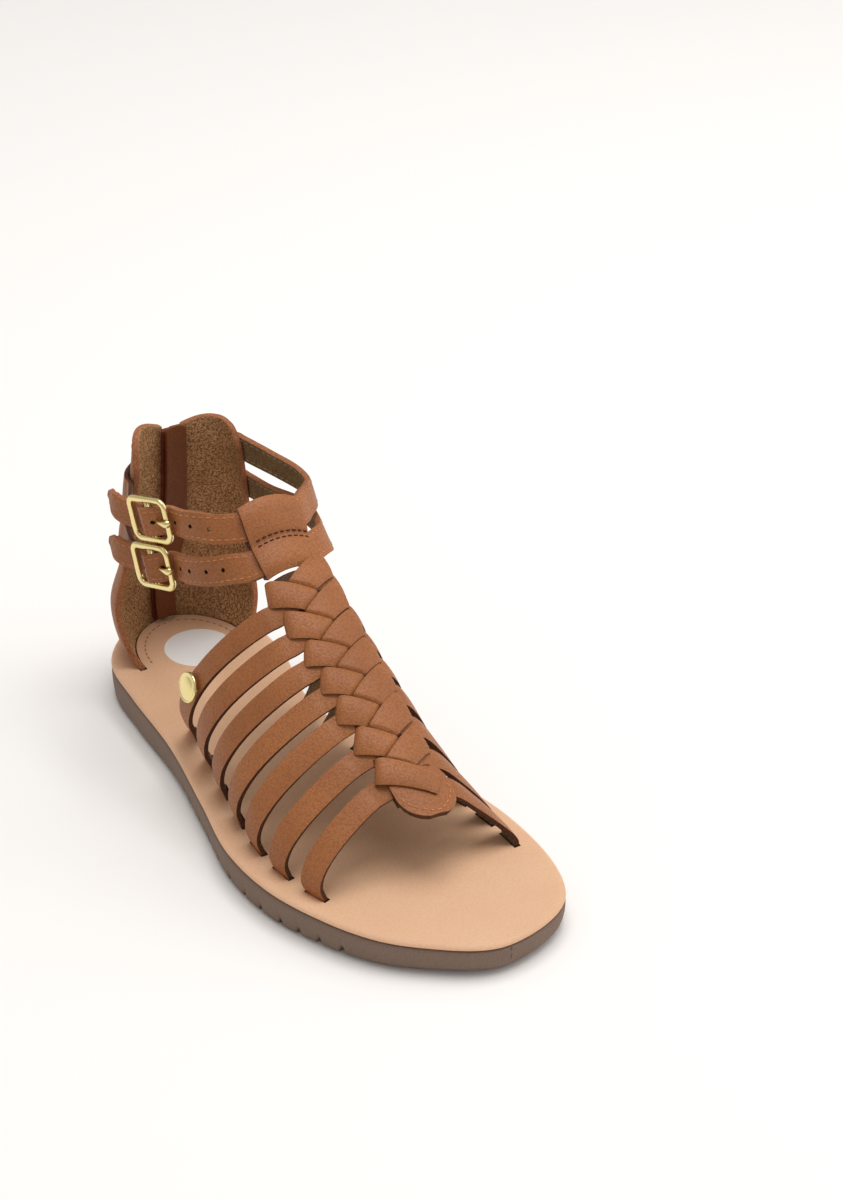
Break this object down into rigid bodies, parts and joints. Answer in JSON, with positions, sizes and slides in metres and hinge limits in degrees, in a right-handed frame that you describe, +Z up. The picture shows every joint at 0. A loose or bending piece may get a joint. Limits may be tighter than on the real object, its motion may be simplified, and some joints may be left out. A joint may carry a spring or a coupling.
{
  "type": "gladiator sandal",
  "caption": "Child's tan gladiator sandal for the right foot, with a braided strap upper, two buckled ankle straps and a heel zip.",
  "frame": {"origin": "on the floor under the middle of the heel tread", "axes": "+Z up, +Y towards the heel's back so the toe is at -Y, +X towards the wearer's left (the medial side)"},
  "size_m": [0.0817, 0.2094, 0.0975],
  "materials": {
    "strap_leather": "tan smooth leather with a fine grain and cut edges",
    "counter_leather": "tan leather outside, brown suede lining inside",
    "guard_leather": "dark brown smooth leather",
    "footbed_leather": "pale beige matt leather",
    "sole_rubber": "matt taupe rubber",
    "zip_fabric": "maroon woven tape with moulded teeth",
    "zip_paint": "dark maroon satin paint",
    "pale_gold": "polished pale gold plating"
  },
  "bodies": {
    "sandal": {"outsole": "sole_rubber", "footbed": "footbed_leather", "upper": "strap_leather", "instep_tab": "strap_leather", "ankle_strap_upper": "strap_leather", "ankle_strap_lower": "strap_leather", "buckle_stay_upper": "strap_leather", "buckle_stay_lower": "strap_leather", "quarter_lateral": "counter_leather", "quarter_medial": "counter_leather", "zip_tape": "zip_fabric", "zip_guard": "guard_leather", "zip_slider": "zip_paint", "buckle_frame_upper": "pale_gold", "buckle_frame_lower": "pale_gold", "buckle_prong_upper": "pale_gold", "buckle_prong_lower": "pale_gold", "strap_disc": "pale_gold"},
    "pull": {"zip_pull": "zip_paint"}
  },
  "joints": [
    {"name": "zip_pull_hinge", "type": "hinge", "parent": "sandal", "child": "pull", "pos_m": [0.002, 0.01449, 0.08792], "axis": [1, 0, 0], "range_deg": [0, 150]}
  ]
}
